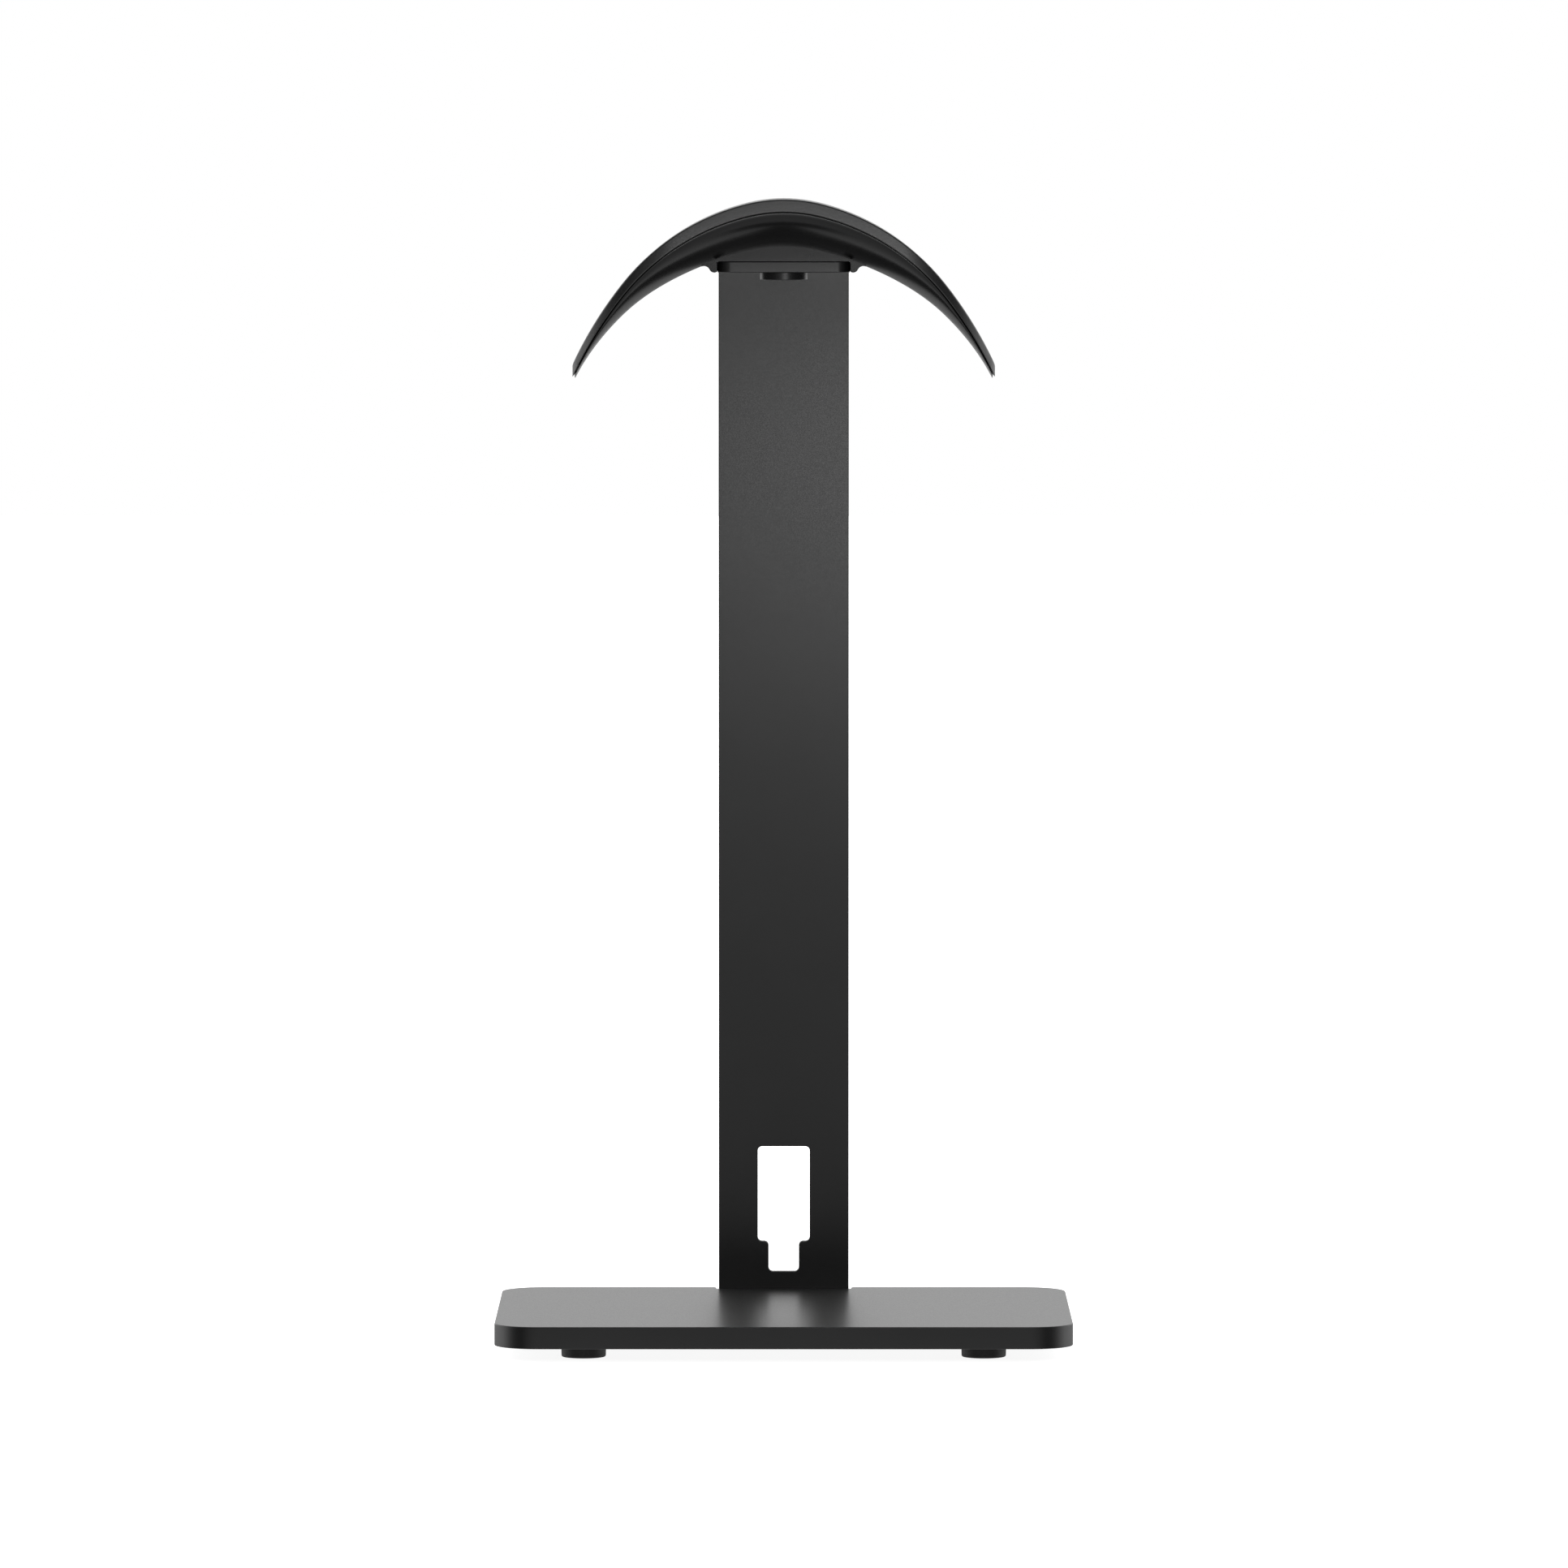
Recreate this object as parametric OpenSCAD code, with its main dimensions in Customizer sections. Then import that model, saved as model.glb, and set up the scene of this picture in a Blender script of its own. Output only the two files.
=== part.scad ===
// Desk stand for one pair of headphones: a flat base plate, a bent metal strip as the upright, and a
// curved rest for the headband on the strip's top flange.
// Frame: origin on the desk under the middle of the base, +X to the right, front towards -Y, +Z up.

/* [Base plate] */
// Width of the base plate
base_w = 130; // [116:1:160]
// Depth of the base plate
base_d = 95; // [90:1:130]
// Thickness of the base plate
base_t = 5; // [4.5:0.5:8]
// Corner radius of the base plate, seen from above
base_corner_r = 10; // [4:0.5:14]
// Depth of the notch in the rear edge that the upright stands in
notch_depth = 4; // [3.5:0.5:6]
// Gap between the upright and each side of the notch
notch_gap = 0.6; // [0.2:0.1:1.5]

/* [Upright] */
// Height of the whole stand, from the desk to the crown of the rest
stand_h = 260; // [240:1:300]
// Width of the metal strip
strip_w = 30; // [28:1:34]
// Thickness of the metal strip
strip_t = 2.5; // [2:0.1:3]
// Length of the top flange, from the strip's rear face
top_flange_l = 47.5; // [44:0.5:48]
// Length of the foot flange, from the strip's rear face
foot_flange_l = 30; // [28:1:34]
// Corner radius of both flanges, seen from above
flange_corner_r = 3; // [1:0.5:4]

/* [Cable opening] */
// Width of the upper part, which lets a plug through
plug_w = 12; // [10:0.5:16]
// Height of the upper part
plug_h = 22; // [16:1:30]
// Width of the lower part, which holds the cable
cable_w = 7; // [4.5:0.5:8]
// Height of the lower part
cable_h = 7; // [5:0.5:10]
// Height of the lower part's floor above the desk
cable_z = 12; // [11:0.5:20]

/* [Headband rest] */
// Width of the rest
rest_w = 95.6; // [94:0.2:98]
// Depth of the rest, front to back
rest_d = 50; // [48:1:56]
// Thickness of the cover, measured upright
cover_t = 2.9; // [2.6:0.1:3.2]
// Depth of the body below the cover at the middle
body_h = 8.2; // [7.9:0.1:8.6]

/* [Feet] */
// Diameter of a foot at the desk
foot_d = 10; // [8:0.5:12]
// Height of a foot with its adhesive disc
foot_h = 3; // [2.5:0.5:4]
// Distance of each foot from the middle, sideways
foot_x = 45; // [40:1:50]
// Distance of each foot from the middle, front to back
foot_y = 33.5; // [30:0.5:38]

/* [Hidden] */
$fn = 64;
cut = 1;  // how far a cutting solid runs past the face that it cuts

// Heights and places of the base and the strip
strip_front_y = base_d / 2 - notch_depth;
strip_back_y = strip_front_y + strip_t;
flange_gap = 14.2;  // crown of the rest above the top flange
flange_top = stand_h - flange_gap;
flange_bottom = flange_top - strip_t;
top_flange_front_y = strip_back_y - top_flange_l;
foot_flange_front_y = strip_back_y - foot_flange_l;
bend_inner_r = 0.5;
bend_outer_r = strip_t + bend_inner_r;
cut_r = 1;  // corner radius of the cable opening and of the notch's mouth

// Countersunk M3 screws that hold the foot flange
m3_r = 1.5;
m3_clear_r = 1.7;
m3_head_r = 3;
m3_l = 4;
m3_hole_l = 4.4;
m3_socket_af = 2;
socket_depth = 1.2;
base_screw_x = 9;
base_screw_y = [foot_flange_front_y + 6, foot_flange_front_y + 19];

// Curve of the rest from the crown to the tip: three arcs, each tangent to the one before
crown_r = 34.5;
crown_angle = 13.6;
shoulder_r = 51.7;
shoulder_angle = 51.5;
flank_r = 92;
crown_cz = stand_h - crown_r;
shoulder_cx = (crown_r - shoulder_r) * sin(crown_angle);
shoulder_cz = crown_cz + (crown_r - shoulder_r) * cos(crown_angle);
flank_cx = shoulder_cx + (shoulder_r - flank_r) * sin(shoulder_angle);
flank_cz = shoulder_cz + (shoulder_r - flank_r) * cos(shoulder_angle);

// Outline of the rest from above: straight front and back, a wide arc, a straight taper, a small tip arc
rest_y = 4.5;
rest_low_z = stand_h - 45;
side_r = 27;
side_cx = 25;
taper_angle = 50;
tip_r = 4.3;
tip_cx = rest_w / 2 - tip_r;
side_cy = rest_d / 2 - side_r;
tip_cy = side_cy + (side_r - tip_r - sin(taper_angle) * (tip_cx - side_cx)) / cos(taper_angle);

// Body of the rest: a shadow gap under the cover that opens towards the tips, an upright lip, then a
// bulging underside
lip_inset = 0.5;
crown_gap = 0.06;
tip_gap = 0.4;
gap_power = 3;
neck_inset = 1.5;
neck_h = 0.7;
lip_h = 0.3;
tip_bulge = 0.6;
bulge_power = 0.55;
thinning_power = [3.2, 1.45];  // how the body thins out from the middle to the tips
cavity_inset = 3;
cavity_wall = 2.2;
cavity_x = [21, 41];
curve_steps = 72;  // flats along the curve of the rest
stations_x = 22;  // steps from the middle to each tip
stations_y = 7;   // steps from the middle to each long edge

// Block under the body that the top flange sits in, with a rib beside each edge of the flange
block_l = 24;
block_clear = 0.1;
rib_r = 1.15;       // rounded foot of a rib
rib_offset = 0.75;  // centre of that rounding, outwards from the flange's edge
hollow_r = 1.4;     // hollow that joins a rib's outside to the underside of the body
hollow_from = 65;   // angle at which the rounded foot passes into the hollow
hollow_to = 22;     // slope of the underside where the hollow ends

// Wide-headed M4 screw and its insert
m4_r = 2;
m4_clear_r = 2.2;
m4_l = 8;
m4_head_r = 5.4;
m4_head_h = 1.8;
m4_socket_af = 2.5;
insert_r = 2.8;
insert_l = 6;
rest_screw_y = top_flange_front_y + block_l / 2;

// Self-tapping screws between the body and the cover
tapper_r = 1.25;
tapper_clear_r = 1.45;
tapper_l = 8.2;
tapper_head_r = 2.3;
tapper_head_h = 1.6;
tapper_recess = 0.2;
tapper_x = 9.5;
tapper_y = [top_flange_front_y + 4.5, top_flange_front_y + block_l - 4.5];
boss_r = 2.75;
boss_bottom = flange_top + 5.55;
boss_clear = 0.15;

adhesive_t = 0.3;
adhesive_inset = 0.4;
foot_taper = 0.15;

metal = "#3a3b3d";
cover_colour = "#2c2d2f";
body_colour = "#232426";
rubber = "#1d1d1e";

// ---- Shapes shared by several sub-parts ----

// Extrudes a shape drawn in the XZ plane from y0 to y1
module along_y(y0, y1) {
    translate([0, y1, 0])
        rotate([90, 0, 0])
            linear_extrude(y1 - y0)
                children();
}

// Extrudes a shape drawn in the YZ plane over the width w, centred on X = 0
module along_x(w) {
    translate([-w / 2, 0, 0])
        rotate([90, 0, 90])
            linear_extrude(w)
                children();
}

module rounded_rect(w, d, r) {
    square([w - 2 * r, d], center = true);
    square([w, d - 2 * r], center = true);
    for (sx = [-1, 1], sy = [-1, 1])
        translate([sx * (w / 2 - r), sy * (d / 2 - r)])
            circle(r);
}

// What rounding takes off a corner whose arc is centred here, in the first quadrant
module corner_waste(r) {
    difference() {
        square(r + cut);
        circle(r);
    }
}

// Material between two edges and the arc of a fillet; the corner is at [r, r]
module fillet(r) {
    difference() {
        square(r);
        circle(r);
    }
}

// What rounding takes off the two upper corners beside an opening that reaches from -x to x
module mouth_rounding(x, y) {
    for (side = [0, 1])
        mirror([side, 0])
            translate([x + cut_r, y - cut_r])
                mirror([1, 0])
                    fillet(cut_r);
}

module hex_socket(across_flats, depth) {
    cylinder(r = across_flats / 2 / cos(30), h = depth, $fn = 6);
}

// ---- Curve and outline of the rest ----

function arc_z(cx, cz, r, x) = cz + sqrt(r * r - (x - cx) * (x - cx));

// Height of the cover's top at x
function top_z(x) =
    let (ax = abs(x))
    ax < crown_r * sin(crown_angle) ? arc_z(0, crown_cz, crown_r, ax)
    : ax < shoulder_cx + shoulder_r * sin(shoulder_angle) ? arc_z(shoulder_cx, shoulder_cz, shoulder_r, ax)
    : arc_z(flank_cx, flank_cz, flank_r, ax);

// Half the depth of the rest at x, for an outline moved inwards by inset
function half_depth(x, inset) =
    let (
        ax = abs(x),
        rs = side_r - inset,
        rt = tip_r - inset,
        arc_end = side_cx + rs * sin(taper_angle),
        line_end = tip_cx + rt * sin(taper_angle)
    )
    ax <= side_cx ? side_cy + rs
    : ax <= arc_end ? side_cy + sqrt(rs * rs - pow(ax - side_cx, 2))
    : ax <= line_end ? side_cy + rs * cos(taper_angle) - (ax - arc_end) * tan(taper_angle)
    : tip_cy + sqrt(max(0, rt * rt - pow(ax - tip_cx, 2)));

// Height of the shadow gap between the cover and the body at x
function gap_at(x) = crown_gap + (tip_gap - crown_gap) * pow(abs(x) / (rest_w / 2), gap_power);

// How far the body's lowest line lies below the cover at x
function body_depth(x) =
    let (
        edge = gap_at(x) + lip_h + tip_bulge,
        share = 1 - pow(abs(x) / (rest_w / 2), thinning_power[0])
    )
    edge + (body_h - edge) * pow(share, thinning_power[1]);

// Height of the body's underside at x and at the share t of the half depth
function under_z(x, t) =
    let (edge = gap_at(x) + lip_h)
    top_z(x) - cover_t - edge - (body_depth(x) - edge) * pow(max(0, 1 - t * t), bulge_power);

// Points of the cover's top curve from left to right, moved down by drop
function curve_points(drop) =
    let (half = rest_w / 2 + cut, step = 2 * half / curve_steps)
    [for (i = [0:curve_steps]) let (x = i * step - half) [x, top_z(x) - drop]];

function reversed(points) = [for (i = [len(points) - 1:-1:0]) points[i]];

// Points of an arc that starts at the angle from, measured clockwise from +Y
function arc_points(cx, cy, r, from, to, steps) =
    [for (i = [0:steps]) let (a = from + (to - from) * i / steps) [cx + r * sin(a), cy + r * cos(a)]];

// Everything below the curve moved down by drop
module below_curve(drop) {
    half = rest_w / 2 + cut;
    polygon(concat([[-half, rest_low_z]], curve_points(drop), [[half, rest_low_z]]));
}

// The band between the curve moved down by the first distance and by the second
module curve_band(upper, lower) {
    polygon(concat(curve_points(upper), reversed(curve_points(lower))));
}

module rest_outline(inset) {
    quarter = concat(
        arc_points(side_cx, side_cy, side_r - inset, 0, taper_angle, 12),
        arc_points(tip_cx, tip_cy, tip_r - inset, taper_angle, 90, 6)
    );
    right = concat(quarter, [for (p = reversed(quarter)) [p.x, -p.y]]);
    polygon(concat(right, [for (p = reversed(right)) [-p.x, p.y]]));
}

// A layer of the rest: a band under the curve, cut to the outline
module rest_layer(upper, lower, inset) {
    intersection() {
        along_y(rest_y - rest_d, rest_y + rest_d)
            curve_band(upper, lower);
        translate([0, rest_y, rest_low_z])
            linear_extrude(stand_h - rest_low_z + cut)
                rest_outline(inset);
    }
}

// The bulging solid under the cover, moved inwards by inset; wall raises its underside and rise its top
module bulging_body(inset, wall, rise) {
    thinnest = 0.1;
    x_end = rest_w / 2 - inset;
    xs = [for (i = [-stations_x:stations_x]) x_end * sin(90 * i / stations_x)];
    ts = [for (j = [-stations_y:stations_y]) sin(90 * j / stations_y)];
    nx = len(xs);
    nt = len(ts);
    under = [
        for (x = xs, t = ts)
            [x, rest_y + t * half_depth(x, inset), min(under_z(x, t) + wall, top_z(x) - cover_t - gap_at(x) + rise - thinnest)]
    ];
    over = [
        for (x = xs, side = [-1, 1])
            [x, rest_y + side * half_depth(x, inset), top_z(x) - cover_t - gap_at(x) + rise]
    ];
    first_over = nx * nt;
    underside = [
        for (i = [0:nx - 2], j = [0:nt - 2])
            let (a = i * nt + j, b = a + nt)
            each [[a, b, b + 1], [a, b + 1, a + 1]]
    ];
    topside = [
        for (i = [0:nx - 2])
            let (a = first_over + 2 * i)
            [a, a + 1, a + 3, a + 2]
    ];
    front = [
        for (i = [0:nx - 2])
            let (a = i * nt, o = first_over + 2 * i)
            each [[a, o, o + 2], [a, o + 2, a + nt]]
    ];
    rear = [
        for (i = [0:nx - 2])
            let (a = i * nt + nt - 1, o = first_over + 2 * i + 1)
            each [[a, o + 2, o], [a, a + nt, o + 2]]
    ];
    left_end = concat([first_over, for (j = [0:nt - 1]) j], [first_over + 1]);
    last = (nx - 1) * nt;
    right_end = concat([first_over + 2 * nx - 1, for (j = [nt - 1:-1:0]) last + j], [first_over + 2 * nx - 2]);
    polyhedron(concat(under, over), concat(underside, topside, front, rear, [left_end, right_end]));
}

// ---- Base ----

module base_plate() {
    notch_half = strip_w / 2 + notch_gap;
    pocket_front_y = foot_flange_front_y - notch_gap;
    edge_chamfer = 0.8;
    color(metal)
        difference() {
            translate([0, 0, foot_h])
                linear_extrude(base_t)
                    difference() {
                        rounded_rect(base_w, base_d, base_corner_r);
                        translate([-notch_half, strip_front_y])
                            square([2 * notch_half, notch_depth + cut]);
                        mouth_rounding(notch_half, base_d / 2);
                    }
            // Pocket for the foot flange, open to the notch
            translate([-notch_half, pocket_front_y, foot_h - cut])
                cube([2 * notch_half, base_d, strip_t + cut]);
            // Room for the inside of the strip's bend
            along_x(2 * notch_half)
                polygon([
                    [strip_front_y - edge_chamfer, foot_h + strip_t - cut],
                    [strip_front_y - edge_chamfer, foot_h + strip_t],
                    [strip_front_y, foot_h + strip_t + edge_chamfer],
                    [strip_front_y + cut, foot_h + strip_t + edge_chamfer],
                    [strip_front_y + cut, foot_h + strip_t - cut]
                ]);
            for (sx = [-1, 1], y = base_screw_y)
                translate([sx * base_screw_x, y, foot_h])
                    cylinder(r = m3_r, h = m3_hole_l);
        }
}

module base_screw() {
    cone_h = m3_head_r - m3_clear_r;
    difference() {
        union() {
            cylinder(r1 = m3_head_r, r2 = m3_clear_r, h = cone_h);
            cylinder(r = m3_r, h = m3_l);
        }
        translate([0, 0, -cut])
            hex_socket(m3_socket_af, socket_depth + cut);
    }
}

module base_screws() {
    color("silver")
        for (sx = [-1, 1], y = base_screw_y)
            translate([sx * base_screw_x, y, foot_h])
                base_screw();
}

// ---- Upright ----

// The strip from the side: foot flange, column and top flange
module strip_profile() {
    height = flange_top - foot_h;
    difference() {
        union() {
            translate([top_flange_front_y, flange_bottom])
                square([top_flange_l, strip_t]);
            translate([strip_front_y, foot_h])
                square([strip_t, height]);
            translate([foot_flange_front_y, foot_h])
                square([foot_flange_l, strip_t]);
            translate([strip_front_y - bend_inner_r, flange_bottom - bend_inner_r])
                fillet(bend_inner_r);
            translate([strip_front_y - bend_inner_r, foot_h + strip_t + bend_inner_r])
                mirror([0, 1])
                    fillet(bend_inner_r);
        }
        translate([strip_back_y - bend_outer_r, flange_top - bend_outer_r])
            corner_waste(bend_outer_r);
        translate([strip_back_y - bend_outer_r, foot_h + bend_outer_r])
            mirror([0, 1])
                corner_waste(bend_outer_r);
    }
}

// Plug opening with the narrower cable slot below it
module cable_opening() {
    slot_top = cable_z + cable_h;
    translate([0, slot_top + plug_h / 2])
        rounded_rect(plug_w, plug_h, cut_r);
    translate([0, cable_z + cable_h / 2 + cut_r])
        rounded_rect(cable_w, cable_h + 2 * cut_r, cut_r);
    mouth_rounding(cable_w / 2, slot_top);
}

module flange_corners(front_y) {
    for (side = [0, 1])
        mirror([side, 0])
            translate([strip_w / 2 - flange_corner_r, front_y + flange_corner_r])
                mirror([0, 1])
                    corner_waste(flange_corner_r);
}

module upright() {
    color(metal)
        difference() {
            along_x(strip_w)
                strip_profile();
            along_y(strip_front_y - cut, strip_back_y + cut)
                cable_opening();
            translate([0, 0, flange_bottom - cut])
                linear_extrude(strip_t + 2 * cut)
                    flange_corners(top_flange_front_y);
            translate([0, 0, foot_h - cut])
                linear_extrude(strip_t + 2 * cut)
                    flange_corners(foot_flange_front_y);
            translate([0, rest_screw_y, flange_bottom - cut])
                cylinder(r = m4_clear_r, h = strip_t + 2 * cut);
            for (sx = [-1, 1], y = base_screw_y)
                translate([sx * base_screw_x, y, foot_h]) {
                    translate([0, 0, -cut])
                        cylinder(r = m3_clear_r, h = strip_t + 2 * cut);
                    cylinder(r1 = m3_head_r, r2 = m3_clear_r, h = m3_head_r - m3_clear_r);
                }
        }
}

// ---- Headband rest ----

module rest_cover() {
    color(cover_colour)
        difference() {
            union() {
                rest_layer(0, cover_t, 0);
                for (sx = [-1, 1], y = tapper_y)
                    translate([sx * tapper_x, y, boss_bottom])
                        cylinder(r = boss_r, h = top_z(tapper_x) - cover_t / 2 - boss_bottom);
            }
            for (sx = [-1, 1], y = tapper_y)
                translate([sx * tapper_x, y, boss_bottom - cut])
                    cylinder(r = tapper_r, h = tapper_l - 2);
        }
}

// The block from the front: a channel for the flange between two ribs with rounded feet
module block_outline() {
    block_top = stand_h - cover_t - lip_h;
    channel_half = strip_w / 2 + block_clear;
    rib_cx = strip_w / 2 + rib_offset;
    rib_cz = flange_bottom + rib_r;
    inner_from = asin((channel_half - rib_cx) / rib_r);
    hollow_cx = rib_cx + (rib_r + hollow_r) * sin(hollow_from);
    hollow_cz = rib_cz - (rib_r + hollow_r) * cos(hollow_from);
    side_x = hollow_cx + hollow_r * sin(hollow_to) + block_clear / 2;
    foot = arc_points(rib_cx, rib_cz, -rib_r, -inner_from, -hollow_from, 12);
    hollow = arc_points(hollow_cx, hollow_cz, hollow_r, -hollow_from, hollow_to, 10);
    right = concat([[channel_half, flange_top]], foot, hollow, [[side_x, flange_top], [side_x, block_top]]);
    polygon(concat(right, [for (p = reversed(right)) [-p.x, p.y]]));
}

module rest_block() {
    along_y(top_flange_front_y, top_flange_front_y + block_l)
        intersection() {
            block_outline();
            below_curve(cover_t + lip_h);
        }
}

// Hollow of one arm of the body, closed by the cover
module arm_cavity() {
    intersection() {
        bulging_body(cavity_inset, cavity_wall, cut);
        translate([cavity_x[0], rest_y - rest_d, rest_low_z])
            cube([cavity_x[1] - cavity_x[0], 2 * rest_d, stand_h - rest_low_z]);
    }
}

module tapper_holes() {
    head_z = flange_top + tapper_recess + tapper_head_h;
    for (sx = [-1, 1], y = tapper_y)
        translate([sx * tapper_x, y, 0]) {
            translate([0, 0, flange_top - cut])
                cylinder(r = tapper_head_r + 0.2, h = head_z - flange_top + cut);
            translate([0, 0, flange_top])
                cylinder(r = tapper_clear_r, h = tapper_l);
            translate([0, 0, boss_bottom - boss_clear])
                cylinder(r = boss_r + boss_clear, h = stand_h - boss_bottom);
        }
}

module rest_body() {
    color(body_colour)
        difference() {
            union() {
                bulging_body(lip_inset, 0, 0);
                rest_layer(cover_t, cover_t + neck_h, neck_inset);
                rest_block();
            }
            for (side = [0, 1])
                mirror([side, 0, 0])
                    arm_cavity();
            tapper_holes();
            translate([0, rest_screw_y, flange_top - cut])
                cylinder(r = insert_r, h = insert_l + cut);
            translate([0, rest_screw_y, flange_top])
                cylinder(r = m4_clear_r, h = m4_l);
        }
}

module rest_cover_screw() {
    difference() {
        union() {
            cylinder(r = tapper_head_r, h = tapper_head_h);
            cylinder(r = tapper_r, h = tapper_head_h + tapper_l - 2);
        }
        translate([0, 0, -cut])
            hex_socket(m3_socket_af, tapper_head_h / 2 + cut);
    }
}

module rest_cover_screws() {
    color("silver")
        for (sx = [-1, 1], y = tapper_y)
            translate([sx * tapper_x, y, flange_top + tapper_recess])
                rest_cover_screw();
}

module rest_insert() {
    color("goldenrod")
        translate([0, rest_screw_y, flange_top])
            difference() {
                cylinder(r = insert_r, h = insert_l);
                translate([0, 0, -cut])
                    cylinder(r = m4_r, h = insert_l + 2 * cut);
            }
}

module rest_screw() {
    color(metal)
        translate([0, rest_screw_y, flange_bottom - m4_head_h])
            difference() {
                union() {
                    cylinder(r = m4_head_r, h = m4_head_h);
                    cylinder(r = m4_r, h = m4_head_h + m4_l);
                }
                translate([0, 0, -cut])
                    hex_socket(m4_socket_af, socket_depth + cut);
            }
}

// ---- Feet ----

module foot(sx, sy) {
    color(rubber)
        translate([sx * foot_x, sy * foot_y, 0])
            cylinder(r1 = foot_d / 2, r2 = foot_d / 2 + foot_taper, h = foot_h - adhesive_t);
}

module foot_adhesive(sx, sy) {
    color("dimgray")
        translate([sx * foot_x, sy * foot_y, foot_h - adhesive_t])
            cylinder(r = foot_d / 2 - adhesive_inset, h = adhesive_t);
}

base_plate();
upright();
base_screws();
rest_cover();
rest_body();
rest_cover_screws();
rest_insert();
rest_screw();
foot(-1, -1);  // foot_front_left
foot(1, -1);  // foot_front_right
foot(-1, 1);  // foot_rear_left
foot(1, 1);  // foot_rear_right
foot_adhesive(-1, -1);  // foot_adhesive_front_left
foot_adhesive(1, -1);  // foot_adhesive_front_right
foot_adhesive(-1, 1);  // foot_adhesive_rear_left
foot_adhesive(1, 1);  // foot_adhesive_rear_right
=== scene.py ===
import math

import bmesh
import bpy
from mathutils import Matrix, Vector


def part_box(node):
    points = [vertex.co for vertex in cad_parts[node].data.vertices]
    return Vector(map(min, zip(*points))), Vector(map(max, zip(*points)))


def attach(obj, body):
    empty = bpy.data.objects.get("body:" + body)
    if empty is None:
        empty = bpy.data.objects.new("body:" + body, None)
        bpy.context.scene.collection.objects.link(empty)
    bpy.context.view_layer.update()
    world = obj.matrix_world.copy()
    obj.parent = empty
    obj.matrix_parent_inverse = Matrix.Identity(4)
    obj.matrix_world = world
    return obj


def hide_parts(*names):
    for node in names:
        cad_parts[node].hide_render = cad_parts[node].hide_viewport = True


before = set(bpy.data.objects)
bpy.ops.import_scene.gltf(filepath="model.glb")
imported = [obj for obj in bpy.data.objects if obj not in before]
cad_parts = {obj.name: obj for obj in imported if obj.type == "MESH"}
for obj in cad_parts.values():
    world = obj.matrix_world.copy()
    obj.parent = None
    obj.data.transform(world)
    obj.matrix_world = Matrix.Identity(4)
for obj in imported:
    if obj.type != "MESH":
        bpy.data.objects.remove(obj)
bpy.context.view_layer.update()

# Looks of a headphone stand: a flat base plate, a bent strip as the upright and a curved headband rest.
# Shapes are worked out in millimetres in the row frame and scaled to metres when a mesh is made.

MM = 0.001

# Curve of the rest: three tangent arcs from the crown to the tip, as in the CAD source
CROWN_R = 34.5
CROWN_ANGLE = math.radians(13.6)
SHOULDER_R = 51.7
SHOULDER_ANGLE = math.radians(51.5)
FLANK_R = 92

# Outline of the rest from above
SIDE_R = 27
SIDE_CX = 25
TAPER_ANGLE = math.radians(50)
TIP_R = 4.3

# Layers of the rest
COVER_T = 2.9
COVER_TOP_EDGE_R = 0.35
COVER_LOW_EDGE_R = 0.25
CROWN_GAP = 0.06
TIP_GAP = 0.4
GAP_POWER = 3
LIP_INSET = 0.5
LIP_H = 0.3
LIP_EDGE_R = 0.12
NECK_INSET = 1.5
BODY_H = 8.2
TIP_BULGE = 0.6
BULGE_POWER = 0.55
THINNING_POWER = (3.2, 1.45)

# Steps of the rest's mesh: along the parts of its outline, from the middle to a long edge, and round edges
MIDDLE_STEPS = 16
SIDE_STEPS = 14
TAPER_STEPS = 8
TIP_STEPS = 10
ACROSS_STEPS = 18
COVER_EDGE_STEPS = 5
LIP_EDGE_STEPS = 3

# Block under the rest
BLOCK_L = 24
BLOCK_CLEAR = 0.1
BLOCK_EDGE_R = 0.12
BLOCK_TOP_STEPS = 12
RIB_R = 1.15
RIB_OFFSET = 0.75
HOLLOW_R = 1.4
HOLLOW_FROM = math.radians(65)
HOLLOW_TO = math.radians(22)
RIB_STEPS = 16
HOLLOW_STEPS = 12

# Base and strip
BASE_CORNER_R = 10
BASE_EDGE_R = 0.25
NOTCH_DEPTH = 4
NOTCH_GAP = 0.6
CUT_R = 1
STRIP_T = 2.5
STRIP_EDGE_R = 0.2
FOOT_FLANGE_L = 30
FLANGE_CORNER_R = 3
BEND_INNER_R = 0.5
BEND_OUTER_R = STRIP_T + BEND_INNER_R
BEND_STEPS = 10
PLUG_HALF = 6
PLUG_Z = (19, 41)
CABLE_HALF = 3.5
CABLE_Z = 12

# Screws
M3_R = 1.5
M3_CLEAR_R = 1.7
M3_HEAD_R = 3
M4_R = 2
M4_CLEAR_R = 2.2
M4_HEAD_H = 1.8
TAPPER_R = 1.25
TAPPER_HEAD_R = 2.3
TAPPER_HEAD_H = 1.6
SOCKET_DEPTH = 1.2
SMALL_SOCKET_AF = 2
LARGE_SOCKET_AF = 2.5

# Insert
KNURL_TEETH = 36
KNURL_DEPTH = 0.15
INSERT_LEAD = 0.2

# Rubber feet
FOOT_SIDES = ("front_left", "front_right", "rear_left", "rear_right")
FOOT_TAPER = 0.15
FOOT_RIM_R = 0.4
FOOT_RIM_STEPS = 5
FOOT_DISH = ((1.6, 0.25), (1.3, 0.18), (1.0, 0))  # inwards from the low edge, and height
FOOT_DISH_MIDDLE = (0.8, 0.25)
FOOT_SHOULDER = ((0.1, 0.25), (0, 0.12), (0.1, 0))  # inwards from the top edge, and depth below it

CIRCLE_STEPS = 96
FOOT_CIRCLE_STEPS = 64
HOLE_STEPS = 48
EDGE_STEPS = 4
CORNER_STEPS = 6
CORNER_STEPS_PER_MM = 2
MERGE_DISTANCE = 0.001
CUT_DISTANCE = 0.0001
SAME_PLACE = 0.01

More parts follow.
